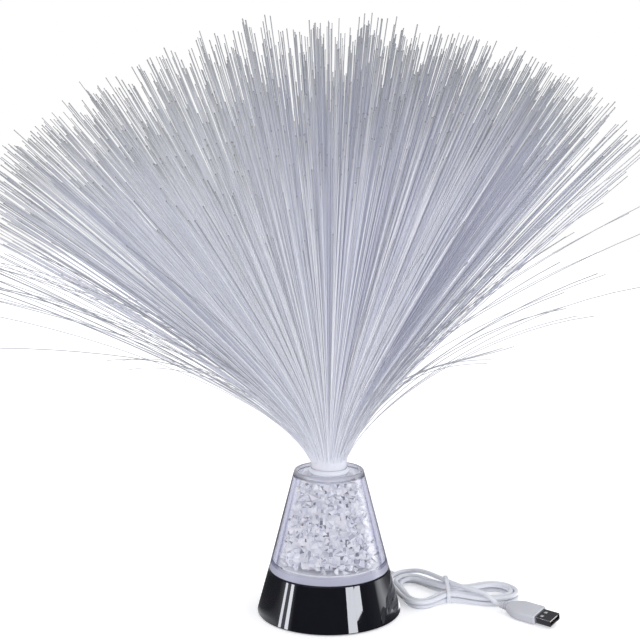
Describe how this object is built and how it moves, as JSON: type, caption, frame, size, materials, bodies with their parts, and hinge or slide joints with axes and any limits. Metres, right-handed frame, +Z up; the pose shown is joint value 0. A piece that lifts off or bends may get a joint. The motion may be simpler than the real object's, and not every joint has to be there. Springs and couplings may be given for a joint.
{
  "type": "fibre optic lamp",
  "caption": "Fibre optic table lamp: gloss black cone base, clear cone filled with acrylic ice, spray of optical fibres that turns and lifts out, and a tied USB cord.",
  "frame": {"origin": "middle of the foot pad's flat underside, on the floor", "axes": "+Z up along the lamp's axis; +Y away from the viewer of the picture; +X to the viewer's right, where the cord lies"},
  "size_m": [0.5, 0.4716, 0.3921],
  "materials": {
    "gloss_black": "polished black ABS",
    "black_matte": "fine moulded texture",
    "clear_plastic": "clear polished polystyrene",
    "acrylic": "clear faceted acrylic chips",
    "optical_fibre": "clear PMMA fibre, smooth",
    "white_plastic": "smooth white moulding",
    "cord_white": "soft white PVC with a satin sheen",
    "nickel": "nickel plated folded sheet",
    "contact_brass": "gold flashed contacts",
    "steel": "zinc plated",
    "board_green": "solder resist on glass epoxy",
    "led_clear": "clear cast epoxy",
    "capacitor_can": "sleeved aluminium can",
    "wire_red": "PVC insulation",
    "foot_rubber": "dense foam rubber"
  },
  "bodies": {
    "base": {"foot_pad": "foot_rubber", "base_plate": "black_matte", "plate_screw_1": "steel", "plate_screw_2": "steel", "plate_screw_3": "steel", "base_shell": "gloss_black", "cord_gland": "cord_white", "light_board": "board_green", "board_screw_1": "steel", "board_screw_2": "steel", "board_screw_3": "steel", "led_centre": "led_clear", "led_ring_1": "led_clear", "led_ring_2": "led_clear", "led_ring_3": "led_clear", "controller_chip": "black_matte", "resistor": "black_matte", "capacitor": "capacitor_can", "cable_connector": "white_plastic", "switch_body": "black_matte", "clear_cover": "clear_plastic", "light_tray": "clear_plastic", "acrylic_ice": "acrylic", "inner_lead": "cord_white", "wire_red": "wire_red", "wire_black": "black_matte", "cord_lead": "cord_white", "cord_hank": "cord_white", "cord_tail": "cord_white", "cord_tie": "white_plastic", "plug_overmould": "cord_white", "plug_shell": "nickel", "plug_tongue": "white_plastic", "plug_contact_1": "contact_brass", "plug_contact_2": "contact_brass", "plug_contact_3": "contact_brass", "plug_contact_4": "contact_brass"},
    "button": {"switch_button": "gloss_black", "switch_plunger": "white_plastic"},
    "holder": {"bundle_holder": "white_plastic"},
    "fibre_bundle": {"bundle_ferrule": "white_plastic", "fibres_1": "optical_fibre", "fibres_2": "optical_fibre", "fibres_3": "optical_fibre", "fibres_4": "optical_fibre"}
  },
  "joints": [
    {"name": "button_press", "type": "slide", "parent": "base", "child": "button", "axis": [0.4695, -0.8829, 0], "range_m": [0, 0.0015], "stiffness_N_per_m": 300, "springref_m": -0.001},
    {"name": "holder_turn", "type": "hinge", "parent": "base", "child": "holder", "pos_m": [0, 0, 0.0957], "axis": [0, 0, 1], "continuous": true},
    {"name": "bundle_lift", "type": "slide", "parent": "holder", "child": "fibre_bundle", "axis": [0, 0, 1], "range_m": [0, 0.0155]}
  ]
}
